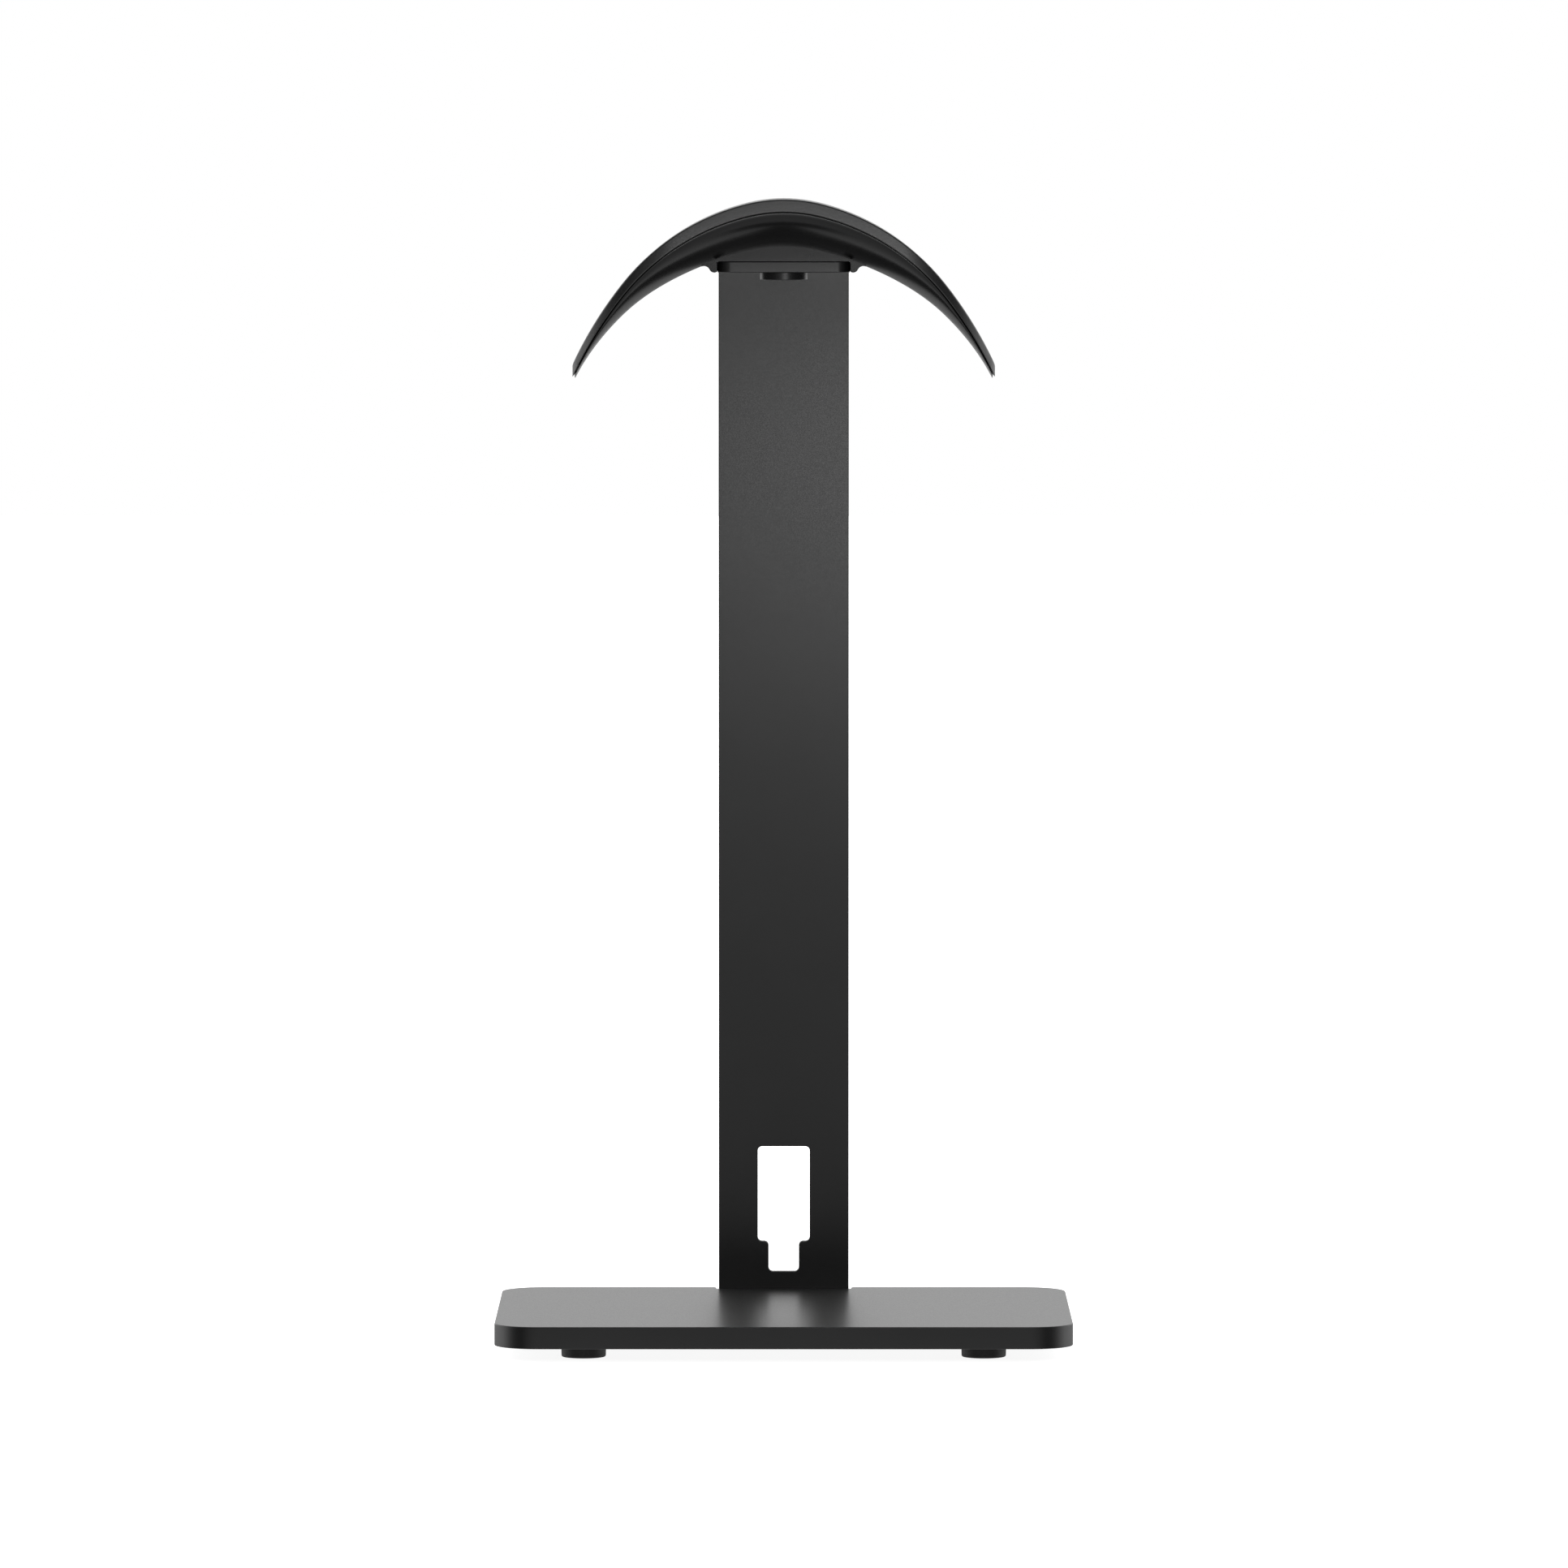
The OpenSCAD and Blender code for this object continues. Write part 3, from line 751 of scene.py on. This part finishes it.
def make_base_screws(material):
    bm = bmesh.new()
    low, high = box_mm("base_screws")
    cone = M3_HEAD_R - M3_CLEAR_R
    length = high.z - low.z
    edge = 0.05
    point = 0.3
    steps = [(M3_HEAD_R - edge, 0), (M3_HEAD_R, edge), (M3_CLEAR_R, cone), (M3_R, cone)]
    steps += [(M3_R, length - point), (M3_R - point, length)]
    for cx, cy in screw_places("base_screws", M3_HEAD_R):
        add_screw(bm, cx, cy, low.z, steps, SMALL_SOCKET_AF, SOCKET_DEPTH)
    make_piece("base_countersunk_screws", bm, "base_screws", material)


def make_cover_screws(material):
    bm = bmesh.new()
    low, high = box_mm("rest_cover_screws")
    length = high.z - low.z
    edge = 0.15
    point_h = 0.6
    point_r = 0.4
    steps = [(TAPPER_HEAD_R - inset, h) for inset, h in edge_profile(0, TAPPER_HEAD_H, edge)]
    steps += [(TAPPER_R, TAPPER_HEAD_H), (TAPPER_R, length - point_h), (point_r, length)]
    for cx, cy in screw_places("rest_cover_screws", TAPPER_HEAD_R):
        add_screw(bm, cx, cy, low.z, steps, SMALL_SOCKET_AF, TAPPER_HEAD_H / 2)
    make_piece("cover_tapping_screws", bm, "rest_cover_screws", material)


def make_insert(material):
    """The brass insert with a knurled outside."""
    bm = bmesh.new()
    low, high = box_mm("rest_insert")
    cx, cy = (low.x + high.x) / 2, (low.y + high.y) / 2
    outer_r = (high.x - low.x) / 2
    knurl = []
    for k in range(2 * KNURL_TEETH):
        a = math.pi * k / KNURL_TEETH
        radius = outer_r - KNURL_DEPTH * (k % 2)
        knurl.append(Vector((cx + radius * math.cos(a), cy + radius * math.sin(a))))
    bore = circle_loop(cx, cy, M4_R, HOLE_STEPS)[::-1]
    wall = [(KNURL_DEPTH, low.z), (0, low.z + INSERT_LEAD), (0, high.z - INSERT_LEAD), (KNURL_DEPTH, high.z)]
    add_slab(bm, knurl, wall, [(bore, [(0, low.z), (0, high.z)])])
    make_piece("knurled_insert", bm, "rest_insert", material)


def make_foot(node, material):
    """A round rubber foot with a rounded rim and a shallow dish in its underside."""
    bm = bmesh.new()
    low, high = box_mm(node)
    cx, cy = (low.x + high.x) / 2, (low.y + high.y) / 2
    top_r = (high.x - low.x) / 2
    low_r = top_r - FOOT_TAPER
    rim = FOOT_RIM_R
    steps = [FOOT_DISH_MIDDLE]
    steps += [(low_r - inset, h) for inset, h in FOOT_DISH]
    steps += [(low_r - rim + rim * math.sin(a), rim - rim * math.cos(a)) for a in quarter(FOOT_RIM_STEPS)]
    steps += [(top_r - inset, high.z - low.z - depth) for inset, depth in FOOT_SHOULDER]
    rings = []
    for radius, h in steps:
        loop = circle_loop(cx, cy, radius, FOOT_CIRCLE_STEPS)
        rings.append([bm.verts.new((p.x, p.y, low.z + h)) for p in loop])
    add_walls(bm, rings)
    add_cap(bm, [rings[0]])
    add_cap(bm, [rings[-1]])
    make_piece("rubber_" + node, bm, node, material, FOOT_SHARP_ANGLE)


def finish_adhesive(material):
    """The adhesive discs keep their CAD shape and get their own material."""
    for side in FOOT_SIDES:
        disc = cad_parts["foot_adhesive_" + side]
        disc.data.materials.clear()
        disc.data.materials.append(material)


# ---- Studio ----

# Greys of the studio from the camera's side (0) over the sides (0.5) to the back (1)
UPPER_STUDIO = (
    (0.0, 0.06), (0.14, 0.05), (0.27, 0.09), (0.37, 0.27),
    (0.48, 0.60), (0.62, 0.95), (0.77, 0.88), (0.95, 0.615),
)
LOWER_STUDIO = (
    (0.0, 0.62), (0.05, 0.48), (0.14, 0.08), (0.27, 0.07), (0.37, 0.27),
    (0.48, 0.60), (0.62, 0.94), (0.77, 0.55), (0.95, 0.15),
)
GROUND_GREY = 0.35
STUDIO_STRENGTH = 1.6

# Heights of a direction, from -1 straight down to 1 straight up, over which one zone passes into the next
HORIZON_BLEND = (-0.14, -0.02)
GROUND_BLEND = (-0.70, -0.35)

FLOOR_SIZE = 12
FLOOR_PATCH_SCALE = 3
FLOOR_PATCH_DETAIL = 2.0
FLOOR_GREYS = (0.80, 0.82)
FLOOR_GLOW = 0.9

SOFTBOX_PLACE = (0.05, -0.40, 0.19)
SOFTBOX_TARGET = (0, 0.04, 0.20)
SOFTBOX_SIZE = (0.16, 0.06)
SOFTBOX_POWER = 0.20

CAMERA_SENSOR = 36
CAMERA_LENS = 278.3
CAMERA_CLIP = (0.05, 50)
CAMERA_PLACE = (0.000065, -2.75, 0.2743)
CAMERA_PITCH = math.radians(3.062)


def make_floor():
    bpy.ops.mesh.primitive_plane_add(size=FLOOR_SIZE, location=(0, 0, 0))
    floor = bpy.context.object
    floor.name = "studio_floor"
    material, shader = new_material("pale_floor")
    shader.inputs["Roughness"].default_value = 0.9
    shader.inputs["Specular IOR Level"].default_value = 0.0
    patch = add_noise(material, FLOOR_PATCH_SCALE, FLOOR_PATCH_DETAIL)
    colour = add_ramp(material, patch, *FLOOR_GREYS)
    material.node_tree.links.new(colour, shader.inputs["Base Color"])
    shader.inputs["Emission Color"].default_value = (1, 1, 1, 1)
    shader.inputs["Emission Strength"].default_value = FLOOR_GLOW
    floor.data.materials.append(material)
    floor.visible_glossy = False
    floor.visible_diffuse = False


def add_studio_ramp(nodes, stops):
    ramp = nodes.new("ShaderNodeValToRGB")
    ramp.color_ramp.interpolation = "EASE"
    elements = ramp.color_ramp.elements
    while len(elements) < len(stops):
        elements.new(0.5)
    for element, (position, grey) in zip(elements, stops):
        element.position = position
        element.color = (grey, grey, grey, 1)
    return ramp


def add_height_mix(world, height, span, below, above):
    """Passes from one colour to another as the height of a direction crosses a span."""
    nodes, links = world.node_tree.nodes, world.node_tree.links
    share = nodes.new("ShaderNodeMapRange")
    share.interpolation_type = "SMOOTHSTEP"
    share.inputs["From Min"].default_value = span[0]
    share.inputs["From Max"].default_value = span[1]
    mix = nodes.new("ShaderNodeMixRGB")
    links.new(height, share.inputs["Value"])
    links.new(share.outputs["Result"], mix.inputs["Fac"])
    links.new(below, mix.inputs["Color1"])
    links.new(above, mix.inputs["Color2"])
    return mix.outputs["Color"]


def make_world():
    """White for the camera; for light and reflections bright behind the stand and dark near the camera."""
    world = bpy.data.worlds.new("studio")
    bpy.context.scene.world = world
    world.use_nodes = True
    nodes, links = world.node_tree.nodes, world.node_tree.links
    nodes.clear()
    output = nodes.new("ShaderNodeOutputWorld")
    seen = nodes.new("ShaderNodeBackground")
    studio = nodes.new("ShaderNodeBackground")
    mix = nodes.new("ShaderNodeMixShader")
    path = nodes.new("ShaderNodeLightPath")
    place = nodes.new("ShaderNodeTexCoord")
    split = nodes.new("ShaderNodeSeparateXYZ")
    share = nodes.new("ShaderNodeMapRange")
    share.inputs["From Min"].default_value = -1
    share.inputs["From Max"].default_value = 1
    links.new(place.outputs["Generated"], split.inputs["Vector"])
    links.new(split.outputs["Y"], share.inputs["Value"])
    ground = nodes.new("ShaderNodeRGB")
    ground.outputs["Color"].default_value = (GROUND_GREY, GROUND_GREY, GROUND_GREY, 1)
    colours = []
    for stops in (LOWER_STUDIO, UPPER_STUDIO):
        ramp = add_studio_ramp(nodes, stops)
        links.new(share.outputs["Result"], ramp.inputs["Fac"])
        colours.append(ramp.outputs["Color"])
    height = split.outputs["Z"]
    near_ground = add_height_mix(world, height, GROUND_BLEND, ground.outputs["Color"], colours[0])
    all_round = add_height_mix(world, height, HORIZON_BLEND, near_ground, colours[1])
    links.new(all_round, studio.inputs["Color"])
    links.new(path.outputs["Is Camera Ray"], mix.inputs["Fac"])
    links.new(studio.outputs["Background"], mix.inputs[1])
    links.new(seen.outputs["Background"], mix.inputs[2])
    links.new(mix.outputs["Shader"], output.inputs["Surface"])
    seen.inputs["Color"].default_value = (1, 1, 1, 1)
    studio.inputs["Strength"].default_value = STUDIO_STRENGTH


def add_softbox(name, location, target, width, height, power):
    data = bpy.data.lights.new(name, "AREA")
    data.shape = "RECTANGLE"
    data.size = width
    data.size_y = height
    data.energy = power
    light = bpy.data.objects.new(name, data)
    light.location = location
    light.rotation_euler = (Vector(target) - Vector(location)).to_track_quat("-Z", "Y").to_euler()
    light.visible_camera = False
    bpy.context.scene.collection.objects.link(light)


def make_lights():
    add_softbox("front_softbox", SOFTBOX_PLACE, SOFTBOX_TARGET, *SOFTBOX_SIZE, SOFTBOX_POWER)


def make_camera():
    data = bpy.data.cameras.new("camera")
    data.sensor_width = CAMERA_SENSOR
    data.lens = CAMERA_LENS
    data.clip_start, data.clip_end = CAMERA_CLIP
    camera = bpy.data.objects.new("camera", data)
    camera.location = CAMERA_PLACE
    camera.rotation_euler = (math.pi / 2 - CAMERA_PITCH, 0, 0)
    bpy.context.scene.collection.objects.link(camera)
    bpy.context.scene.camera = camera


def set_colour():
    view = bpy.context.scene.view_settings
    view.view_transform = "Standard"
    view.look = "None"
    view.exposure = 0
    view.gamma = 1


def build():
    materials = make_materials()
    make_base_plate(materials["black_metal"])
    make_upright(materials["black_metal"])
    make_rest_cover(materials["grained_plastic"])
    make_rest_body(materials["satin_plastic"])
    make_rest_screw(materials["black_screw"])
    make_base_screws(materials["screw_steel"])
    make_cover_screws(materials["screw_steel"])
    make_insert(materials["insert_brass"])
    for side in FOOT_SIDES:
        make_foot("foot_" + side, materials["foot_rubber"])
    finish_adhesive(materials["foot_adhesive"])
    make_floor()
    make_world()
    make_lights()
    make_camera()
    set_colour()


build()
